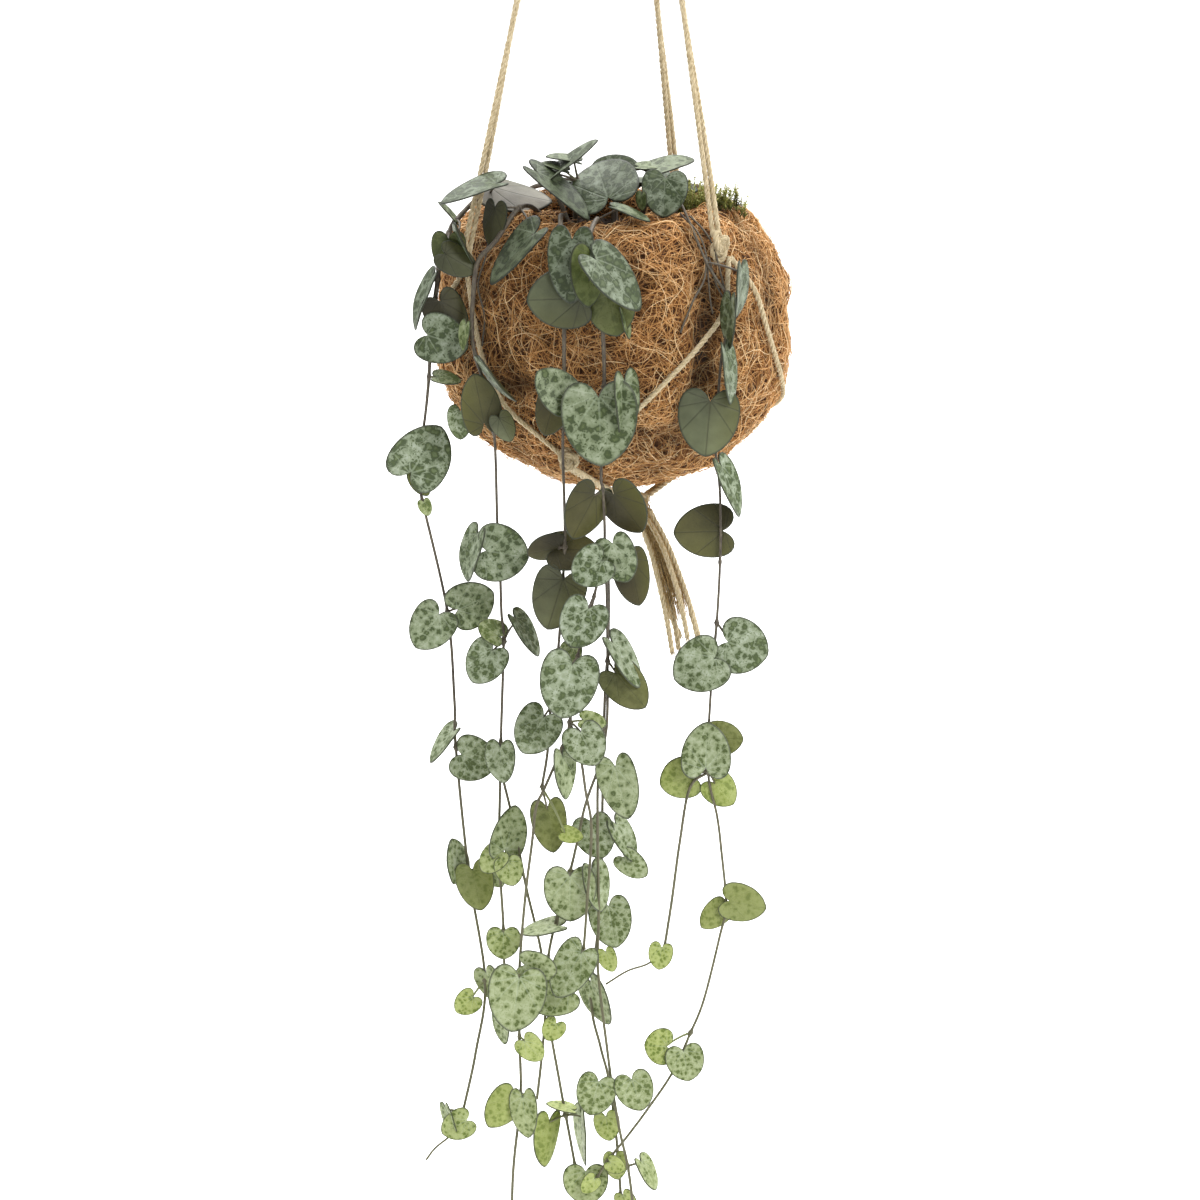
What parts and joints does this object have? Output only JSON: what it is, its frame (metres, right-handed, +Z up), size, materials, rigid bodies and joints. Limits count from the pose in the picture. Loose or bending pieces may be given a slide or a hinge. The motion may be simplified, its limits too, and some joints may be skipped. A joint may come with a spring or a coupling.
{
  "type": "hanging string of hearts kokedama",
  "caption": "Trailing string of hearts in a soil ball wrapped with coconut fibre, hung in a knotted jute twine net with doubled legs, a hanging loop and a short tassel.",
  "frame": {"origin": "the place on the hanging loop that bears on a hook", "axes": "+Z up against gravity, -Y to the front where the stems trail, +X to the right seen from the front"},
  "size_m": [0.1478, 0.1591, 0.6705],
  "materials": {
    "coir": "rough needled coconut fibre with loose curled hairs, matte",
    "soil": "peat and bark potting mix, matte",
    "moss": "living moss, matte",
    "leaf": "thick semi-succulent leaf, satin, silver marbled over green",
    "jute": "natural jute twine, hairy, matte"
  },
  "bodies": {
    "root": {"coir_wrap": "coir", "soil_ball": "soil", "moss_tuft": "moss", "vine_left_outer": "leaf", "vine_left_inner": "leaf", "vine_front_left": "leaf", "vine_front": "leaf", "vine_right": "leaf", "crown_left": "leaf", "crown_right": "leaf", "vine_back_right": "leaf", "vine_back": "leaf", "vine_back_left": "leaf", "crown_inner": "leaf", "hang_loop": "jute", "top_knot": "jute", "leg_right": "jute", "side_knot_right": "jute", "leg_left": "jute", "side_knot_left": "jute", "leg_back": "jute", "side_knot_back": "jute", "net_right_front": "jute", "net_right_back": "jute", "net_left_front": "jute", "net_left_back": "jute", "net_back_right": "jute", "net_back_left": "jute", "low_knot_front": "jute", "base_pair_front": "jute", "low_knot_right": "jute", "base_pair_right": "jute", "low_knot_left": "jute", "base_pair_left": "jute", "bottom_knot": "jute", "tail_1": "jute", "tail_2": "jute", "tail_3": "jute", "tail_4": "jute", "tail_5": "jute", "tail_6": "jute"}
  },
  "joints": []
}
